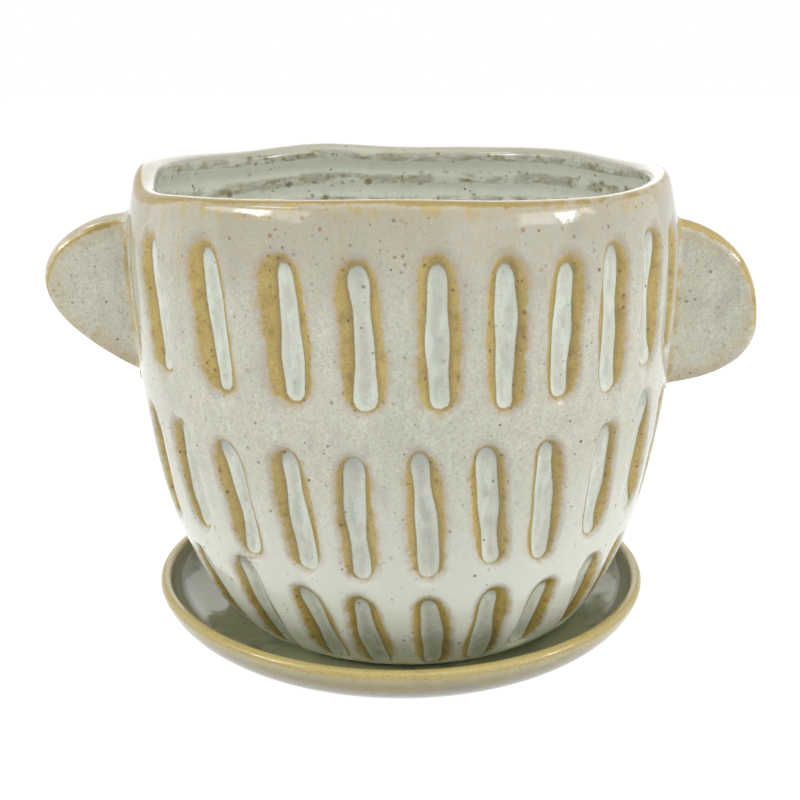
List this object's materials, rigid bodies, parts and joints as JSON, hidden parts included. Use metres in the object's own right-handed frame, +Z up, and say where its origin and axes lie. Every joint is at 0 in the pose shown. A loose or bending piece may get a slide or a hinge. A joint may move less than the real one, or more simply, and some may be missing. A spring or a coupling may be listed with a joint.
{
  "type": "flower pot with saucer",
  "caption": "Hand-carved stoneware table planter with rows of grooves, an uneven rolled rim, a flat clay ear on each side, a drain hole and a loose saucer.",
  "frame": {"origin": "middle of the saucer's underside, on the surface it stands on", "axes": "+X runs through the two ears, +Z is up, and the front of the pot faces -Y"},
  "size_m": [0.1986, 0.1497, 0.1332],
  "materials": {
    "pot_glaze": "glossy speckled oatmeal-white glaze that breaks to ochre over edges",
    "ear_glaze": "glossy speckled grey-white glaze, ochre along the edge",
    "saucer_glaze": "glossy glaze, grey-green inside and ochre on the lip"
  },
  "bodies": {
    "saucer": {"saucer": "saucer_glaze"},
    "pot": {"pot_body": "pot_glaze", "left_ear": "ear_glaze", "right_ear": "ear_glaze"}
  },
  "joints": [
    {"name": "pot_lift", "type": "slide", "parent": "saucer", "child": "pot", "axis": [0, 0, 1], "range_m": [0, 0.06]}
  ]
}
